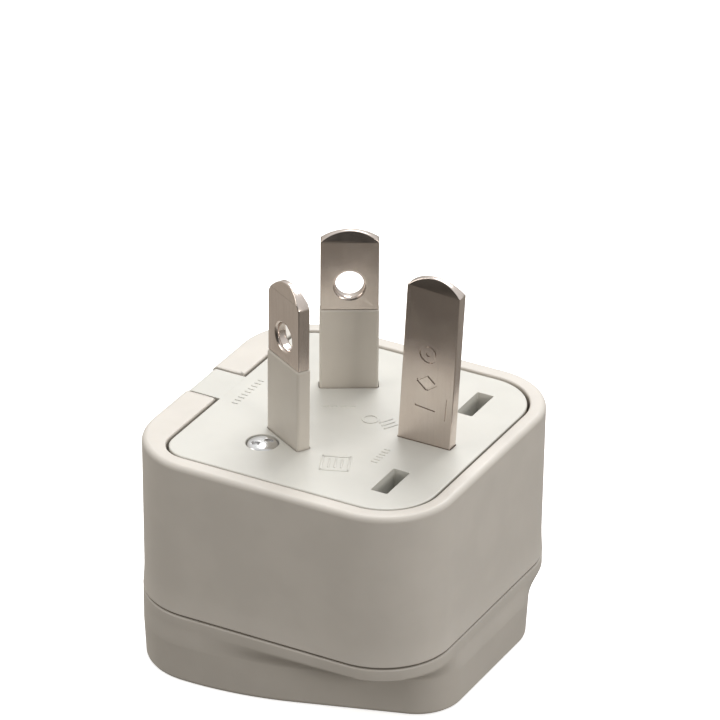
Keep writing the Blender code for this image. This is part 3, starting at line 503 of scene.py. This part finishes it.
def plate_piece(mat):
    """Plug plate: tab at the notch, windows, pin slots and screw holes."""
    levels = [(opening(PLATE_GAP), PLATE_BOTTOM)]
    levels += [(opening(PLATE_GAP + PLATE_EDGE * c), PLATE_TOP - PLATE_EDGE * s)
               for s, c in quarter(4)]
    plate = rings("plate", levels, mat)
    end = TAB_BACK - BODY_LENGTH / 2 - SHELL_LEAN
    top = PLATE_TOP - TAB_DROP
    side = [(TAB_ROOT, PLATE_BOTTOM), (TAB_ROOT, top)]
    side += [(end + RIM_FILLET * s, top - RIM_FILLET * c) for s, c in quarter(8)]
    side.append((end, PLATE_BOTTOM))
    combine(plate, "UNION", upright(prism("tab", side, -TAB_SIDES[1], -TAB_SIDES[0])))
    cutters = []
    low, high = PLATE_BOTTOM - 0.5, PLATE_TOP + 1.0
    for y in (-WINDOW_Y, WINDOW_Y):
        window = block(WINDOW_LENGTH, WINDOW_WIDTH, WINDOW_X, y)
        cutters.append(prism("window", rounded(window, [0.15] * 4, 0.0, 4), low, high))
    for name, (x, y, turn, _, _, _) in PINS.items():
        slot = rounded(block(*POLE_SLOT), [0.3] * 4, 0.0, 4)
        cutters.append(prism("slot", turned(slot, turn, x, y), low, high))
        sx, sy = SCREWS[name]
        cutters.append(prism("bore", circle(BORE_RADIUS, sx, sy), low, BORE_TOP))
        cutters.append(prism("counterbore", circle(SCREW_RADIUS + 0.1, sx, sy),
                             COUNTERBORE_LOW, high))
    slot = rounded(block(*EARTH_SLOT), [0.15] * 4, 0.0, 4)
    cutters.append(prism("slot", turned(slot, 0.0, EARTH_X, 0.0), low, high))
    combine(plate, "DIFFERENCE", *cutters)
    soften(plate, 0.05)
    return finished(plate, "plate_plastic")


def relief_pieces(mat):
    """Low plain relief moulded on the plate: short bars, a ring and a barred frame."""
    made = []
    root, top = PLATE_TOP + RELIEF_ROOT, PLATE_TOP + RELIEF_HEIGHT

    def bar(x, y, length, width, turn):
        corners, radii = block(length, width), [width * 0.45] * 4
        levels = [(turned(rounded(corners, radii, inset, 4), turn, x, y), z)
                  for inset, z in ((0.0, root), (0.0, top - RELIEF_EDGE), (RELIEF_EDGE, top))]
        made.append(rings("bar", levels, mat))

    def ring(x, y, radius, width):
        levels = [(circle(r, x, y, 32), z) for r, z in ((radius, root), (radius, top),
                                                        (radius - width, top),
                                                        (radius - width, root))]
        made.append(rings("ring", levels, mat, loop=True))

    for k in range(9):
        bar(-12.6, -3.0 + 0.75 * k, 0.8, 0.22, 0.0)
    ring(2.6, 1.2, 1.0, 0.26)
    for k in range(3):
        bar(4.3 + 0.55 * k, 1.7 - 0.45 * k, 1.9, 0.26, 62.0)
    for k in range(4):
        bar(-0.6 - 0.9 * k, 2.9 - 0.5 * k, 0.7, 0.2, 30.0)
    for k in range(6):
        bar(7.6, -7.2 + 0.62 * k, 0.8, 0.2, 0.0)
    centre = (4.0, -9.6)
    for k in range(4):
        angle = 22.0 + 90.0 * k
        dx, dy = turned([(1.55, 0.0)], angle)[0]
        bar(centre[0] + dx, centre[1] + dy, 3.4, 0.28, angle + 90.0)
    for k in (-1, 0, 1):
        dx, dy = turned([(0.72 * k, 0.0)], 22.0)[0]
        bar(centre[0] + dx, centre[1] + dy, 2.0, 0.24, 112.0)
    return made


def hook_piece(side, mat):
    """Snap hook under the plate."""
    outline = [(12.55, 22.0), (13.5, 22.0), (13.5, 25.29), (12.55, 25.29), (12.55, 22.9),
               (10.75, 22.75), (10.75, 22.2)]
    middle = side * WINDOW_Y
    hook = upright(prism("hook_%s" % ("a" if side > 0 else "b"), outline, -middle - 2.2,
                         -middle + 2.2, mat))
    soften(hook, 0.08)
    return finished(hook, "plate_plastic")


# ---------------------------------------------------------------- pins

def tip(half, shoulder, peak, bottom, steps=28):
    """Blade outline with an arc from shoulder to shoulder."""
    rise = peak - shoulder
    radius = (half ** 2 + rise ** 2) / (2.0 * rise)
    spread = math.atan2(half, radius - rise)
    points = [(-half, bottom), (half, bottom)]
    for k in range(steps + 1):
        angle = math.pi / 2 - spread + 2.0 * spread * k / steps
        points.append((radius * math.cos(angle), peak - radius + radius * math.sin(angle)))
    return points


def drilled(height, x, y, turn):
    """Cutter for a punched hole whose edges are drawn in."""
    half = PIN_THICKNESS / 2
    side = []
    for k in range(6):
        angle = math.radians(15.0 + 75.0 * k / 5)
        side.append((HOLE_RADIUS - HOLE_BEND * math.sin(angle),
                     half - HOLE_DRAW * (1.0 - math.cos(angle))))
    side.insert(0, (side[0][0] + 0.4, side[0][1] + 0.1))
    profile = [(r, -t) for r, t in side] + [(r, t) for r, t in reversed(side)]
    return upright(rings("hole", [(circle(r, 0.0, height), t) for r, t in profile]), x, y, turn,
                   PLATE_TOP)


def stamps(x, lean):
    """Cutters for plain punch marks on the earth pin: a dotted ring, a lozenge and a bar."""
    face = PIN_THICKNESS / 2
    deep, out = face - STAMP_DEPTH, face + 0.5
    cutters = []

    def stand(obj):
        cutters.append(upright(obj, x, 0.0, 0.0, PLATE_TOP, lean))

    def stroke(ax, ay, bx, by, width):
        dx, dy = unit(ax, ay, bx, by)
        ox, oy = -dy * width / 2, dx * width / 2
        stand(prism("mark", [(ax - ox, ay - oy), (bx - ox, by - oy), (bx + ox, by + oy),
                             (ax + ox, ay + oy)], deep, out))

    levels = [(circle(r, -0.1, 11.4, 32), t)
              for r, t in ((1.15, deep), (1.15, out), (0.83, out), (0.83, deep))]
    stand(rings("mark", levels, loop=True))
    stand(prism("mark", circle(0.36, -0.1, 11.4, 20), deep, out))
    corners = [(-1.3, 7.8), (-0.1, 6.85), (1.1, 7.8), (-0.1, 8.75)]
    for k in range(4):
        stroke(*corners[k], *corners[(k + 1) % 4], 0.3)
    stroke(-1.4, 4.65, 1.15, 4.5, 0.32)
    stroke(2.5, 6.4, 2.4, 3.6, 0.08)
    return cutters


def blade(name, shoulder, peak, bottom, place, mat):
    """Flat pin whose tip slopes in on both faces."""
    x, y, turn, lean = place
    half = PIN_THICKNESS / 2
    pin = upright(prism(name, tip(PIN_WIDTH / 2, shoulder, peak, bottom), -half, half, mat),
                  x, y, turn, PLATE_TOP, lean)
    start = peak - SLOPE_DROP
    for side in (-1, 1):
        slope = [(side * half, start), (side * (half + 1.0), start),
                 (side * (half + 1.0), start + 2.1), (side * (half - 0.63), start + 2.1)]
        cutter = prism("slope", slope, -PIN_WIDTH, PIN_WIDTH)
        combine(pin, "DIFFERENCE", upright(cutter, x, y, turn + 90.0, PLATE_TOP, lean))
    return pin


def pole_piece(name, mat):
    """Line or neutral pin above its sleeve."""
    x, y, turn, shoulder, peak, hole = PINS[name]
    pin = blade(name + "_blade", shoulder, peak, SLEEVE_TOP + 0.02 - PLATE_TOP,
                (x, y, turn, 0.0), mat)
    combine(pin, "DIFFERENCE", drilled(hole, x, y, turn))
    soften(pin, 0.12, 3)
    finished(pin, "nickel_plate", name + "_pin")


def earth_piece(mat):
    """Leaning blade, and the upright root that the plate holds."""
    pin = blade("earth_blade", EARTH_SHOULDER, EARTH_PEAK, -1.2,
                (EARTH_X, 0.0, 0.0, EARTH_LEAN), mat)
    soften(pin, 0.12, 3)
    combine(pin, "DIFFERENCE", *stamps(EARTH_X, EARTH_LEAN))
    finished(pin, "nickel_plate", "earth_pin")
    root = [(-1.5, 22.5), (1.5, 22.5), (1.5, 23.5), (3.8, 23.5), (3.8, 25.0), (3.1, 25.0),
            (3.1, 28.2), (-3.1, 28.2), (-3.1, 25.0), (-3.8, 25.0), (-3.8, 23.5), (-1.5, 23.5)]
    heel = upright(prism("earth_root", root, -0.6, 0.6, mat), EARTH_X)
    soften(heel, 0.06)
    finished(heel, "nickel_plate", "earth_pin")


def sleeve_piece(name, mat):
    """Slightly tapered plastic sleeve with a rounded top."""
    x, y, turn = PINS[name][:3]
    insets = [(0.03, 25.0), (0.025, 28.5), (0.01, 33.0), (0.0, 37.5)]
    insets += [(SLEEVE_EDGE * c, SLEEVE_TOP - SLEEVE_EDGE * s) for s, c in quarter(4)[1:]]
    shape = block(SLEEVE_WIDTH, SLEEVE_THICKNESS)
    sleeve = rings(name + "_sleeve",
                   [(turned(rounded(shape, [0.32] * 4, inset, 8), turn, x, y), z)
                    for inset, z in insets], mat)
    finished(sleeve, "sleeve_plastic", name + "_pin_sleeve")


def screw_piece(name, mat):
    """Domed screw head with a two-wedge recess, on a short shank."""
    x, y = SCREWS[name]
    profile = [(SHANK_RADIUS, SHANK_LOW), (SHANK_RADIUS, SCREW_LOW),
               (SCREW_RADIUS - 0.04, SCREW_LOW),
               (SCREW_RADIUS, SCREW_LOW + 0.05), (SCREW_RADIUS, SCREW_HIGH - 0.42),
               (SCREW_RADIUS - 0.08, SCREW_HIGH - 0.27), (SCREW_RADIUS - 0.3, SCREW_HIGH - 0.13),
               (SCREW_RADIUS - 0.7, SCREW_HIGH - 0.04), (0.6, SCREW_HIGH), (0.05, SCREW_HIGH)]
    screw = rings("screw_" + name, [(circle(radius, x, y, 48), z) for radius, z in profile], mat)
    for side in (-1, 1):
        wedge = [(0.25, 0.1), (1.25, 0.1), (1.1, 0.75), (0.25, 0.75)]
        if side < 0:
            wedge = [(-u, -v) for u, v in wedge]
        grip = prism("grip", turned(wedge, 20.0, x, y), SCREW_HIGH - 0.4, SCREW_HIGH + 1.0)
        combine(screw, "DIFFERENCE", grip)
    soften(screw, 0.03)
    finished(screw, "zinc_steel", "plate_screw_" + name)


# ---------------------------------------------------------------- studio

def make_camera():
    """Long lens that looks down on the front left of the pins."""
    azimuth, elevation, roll = (math.radians(angle) for angle in
                                (CAMERA_AZIMUTH, CAMERA_ELEVATION, CAMERA_ROLL))
    back = Vector((math.sin(azimuth) * math.cos(elevation),
                   -math.cos(azimuth) * math.cos(elevation), math.sin(elevation)))
    right = Vector((0.0, 0.0, 1.0)).cross(back).normalized()
    up = back.cross(right)
    turned_right = right * math.cos(roll) + up * math.sin(roll)
    turned_up = up * math.cos(roll) - right * math.sin(roll)
    place = Vector(CAMERA_TARGET) * MM + back * CAMERA_DISTANCE * MM
    data = bpy.data.cameras.new("camera")
    data.sensor_width = 36.0
    data.lens = CAMERA_LENS
    data.clip_start, data.clip_end = 0.01, 10.0
    cam = bpy.data.objects.new("camera", data)
    axes = Matrix((turned_right, turned_up, back)).transposed().to_4x4()
    cam.matrix_world = Matrix.Translation(place) @ axes
    scene.collection.objects.link(cam)
    scene.camera = cam


def make_floor():
    """Pale floor, seen only from above, that neither tints nor reflects in the object."""
    mesh = bpy.data.meshes.new("floor")
    mesh.from_pydata([(x, y, 0.0) for x, y in block(FLOOR_SIZE, FLOOR_SIZE)], [], [(0, 1, 2, 3)])
    paper = Shader("floor_paper")
    paper.p.inputs["Base Color"].default_value = (0.9, 0.9, 0.9, 1.0)
    paper.p.inputs["Roughness"].default_value = 0.9
    paper.p.inputs["Emission Color"].default_value = (1.0, 1.0, 1.0, 1.0)
    paper.p.inputs["Emission Strength"].default_value = 0.62
    above = paper.node("ShaderNodeMixShader")
    paper.link(paper.node("ShaderNodeNewGeometry").outputs["Backfacing"], above.inputs[0])
    paper.link(paper.p.outputs["BSDF"], above.inputs[1])
    paper.link(paper.node("ShaderNodeBsdfTransparent").outputs["BSDF"], above.inputs[2])
    paper.link(above.outputs["Shader"], paper.tree.nodes["Material Output"].inputs["Surface"])
    mesh.materials.append(paper.mat)
    floor = bpy.data.objects.new("floor", mesh)
    scene.collection.objects.link(floor)
    floor.location.z = -FLOOR_DROP
    floor.visible_glossy = False
    floor.visible_diffuse = False


def area_light(name, place, size, power, colour=(1, 1, 1)):
    """Square soft light that points at the middle of the object."""
    data = bpy.data.lights.new(name, "AREA")
    data.size = size
    data.energy = power
    data.color = colour
    lamp = bpy.data.objects.new(name, data)
    direction = Vector((0, 0, 0.02)) - Vector(place)
    lamp.matrix_world = (Matrix.Translation(Vector(place))
                         @ direction.to_track_quat("-Z", "Y").to_matrix().to_4x4())
    scene.collection.objects.link(lamp)


def make_world():
    """Soft room light: brightest high on the right, dim at table level in front."""
    world = bpy.data.worlds.new("world")
    scene.world = world
    world.use_nodes = True
    tree = world.node_tree
    sky = tree.nodes["Background"]
    coord = tree.nodes.new("ShaderNodeTexCoord").outputs["Generated"]

    def lobe(direction, stops):
        """Colours by how near a direction is: 0 behind it, 0.5 square to it, 1 along it."""
        dot = tree.nodes.new("ShaderNodeVectorMath")
        dot.operation = "DOT_PRODUCT"
        dot.inputs[1].default_value = Vector(direction).normalized()
        tree.links.new(coord, dot.inputs[0])
        half = tree.nodes.new("ShaderNodeMapRange")
        half.inputs["From Min"].default_value = -1.0
        tree.links.new(dot.outputs["Value"], half.inputs["Value"])
        ramp = tree.nodes.new("ShaderNodeValToRGB")
        ramp.color_ramp.interpolation = "B_SPLINE"
        elements = ramp.color_ramp.elements
        while len(elements) > 1:
            elements.remove(elements[-1])
        elements[0].position = stops[0][0]
        elements[0].color = (*stops[0][1], 1.0)
        for position, colour in stops[1:]:
            elements.new(position).color = (*colour, 1.0)
        tree.links.new(half.outputs["Result"], ramp.inputs["Fac"])
        return ramp.outputs["Color"]

    def dimmer(direction, start, full, tone, centre):
        """A darker patch of the room, as factors."""
        clear = (1, 1, 1)
        return lobe(direction, [(0.0, clear), (start, clear), (full, tone), (1.0, centre)])

    def blend(kind, a, b):
        mixed = tree.nodes.new("ShaderNodeMix")
        mixed.data_type = "RGBA"
        mixed.blend_type = kind
        mixed.inputs["Factor"].default_value = 1.0
        tree.links.new(a, mixed.inputs[6])
        tree.links.new(b, mixed.inputs[7])
        return mixed.outputs[2]

    main = lobe((0.14, 0.26, 0.9), [(0.0, (0.19, 0.18, 0.16)), (0.13, (0.36, 0.33, 0.30)),
                                    (0.30, (0.28, 0.26, 0.23)), (0.45, (0.38, 0.355, 0.32)),
                                    (0.62, (0.58, 0.56, 0.53)), (0.8, (0.92, 0.92, 0.92)),
                                    (1.0, (1.25, 1.25, 1.26))])
    left = lobe((-1.0, -0.12, -0.12), [(0.0, (0, 0, 0)), (0.78, (0, 0, 0)),
                                       (0.95, (0.16, 0.15, 0.13)), (1.0, (0.2, 0.185, 0.16))])
    product = blend("ADD", main, left)
    corner = dimmer((-0.42, -0.85, -0.35), 0.86, 0.97, (0.57, 0.56, 0.55), (0.5, 0.49, 0.48))
    front = dimmer((0.0, -1.0, 0.25), 0.83, 0.92, (0.25, 0.25, 0.25), (0.2, 0.2, 0.2))
    right = dimmer((0.9, 0.42, 0.0), 0.62, 0.85, (0.84, 0.84, 0.84), (0.8, 0.8, 0.8))
    tips = dimmer((0.52, -0.85, 0.12), 0.96, 0.988, (0.3, 0.3, 0.3), (0.2, 0.2, 0.2))
    for patch in (corner, front, right, tips):
        product = blend("MULTIPLY", product, patch)
    tree.links.new(product, sky.inputs["Color"])


# ---------------------------------------------------------------- assembly

housing = plastic("housing_plastic", (0.61, 0.575, 0.525), 0.42)
# Painted shade: the base takes a darker copy of the housing plastic, standing in for the shade on
# the foot
base_painted_shade_mat = plastic("base_plastic_painted_shade", (0.535, 0.502, 0.455), 0.43)
plate_mat = plastic("plate_plastic", (0.59, 0.58, 0.535), 0.40)
sleeve_mat = plastic("sleeve_plastic", (0.59, 0.55, 0.49), 0.36, 0.6)
white = plastic("white_plastic", (0.75, 0.75, 0.72), 0.45)
nickel = metal("nickel_plate", (0.70, 0.625, 0.575), 0.19, 0.045, (1.0, 1.0, 0.05))
zinc = metal("zinc_steel", (0.71, 0.71, 0.71), 0.19, 0.045)
brass = metal("spring_brass", (0.78, 0.58, 0.28), 0.32, 0.06, (1.0, 0.1, 1.0))

shell_piece(housing)
base_piece(base_painted_shade_mat)
for piece in [plate_piece(plate_mat)] + [hook_piece(side, plate_mat) for side in (-1, 1)]:
    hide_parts("plug_plate")
for k, piece in enumerate(relief_pieces(plate_mat)):
    piece.name = "relief_%02d" % (k + 1)
    finished(piece, "plate_plastic")
earth_piece(nickel)
for name in PINS:
    pole_piece(name, nickel)
    sleeve_piece(name, sleeve_mat)
    screw_piece(name, zinc)

# The inner pieces keep their CAD meshes
inner = [(white, ("contact_carrier", "shutter_cover", "safety_shutter")),
         (brass, [pole + part for part in ("_contact", "_strip", "_rivet")
                  for pole in ("earth", "line", "neutral")]),
         (zinc, ("shutter_spring_line", "shutter_spring_neutral"))]
for mat, names in inner:
    for name in names:
        obj = nodes[name]
        obj.data.materials.clear()
        obj.data.materials.append(mat)
        soften(obj, 0.06, 2, 40.0)
        even_normals(obj)

make_camera()
make_floor()
make_world()
area_light("top_light", (-0.08, 0.42, 0.62), 0.42, 3.4)
area_light("front_fill", (-0.47, -0.37, 0.37), 0.35, 1.2, WARM)
area_light("side_fill", (0.57, -0.31, 0.26), 0.2, 1.4, WARM)
scene.view_settings.view_transform = "Standard"
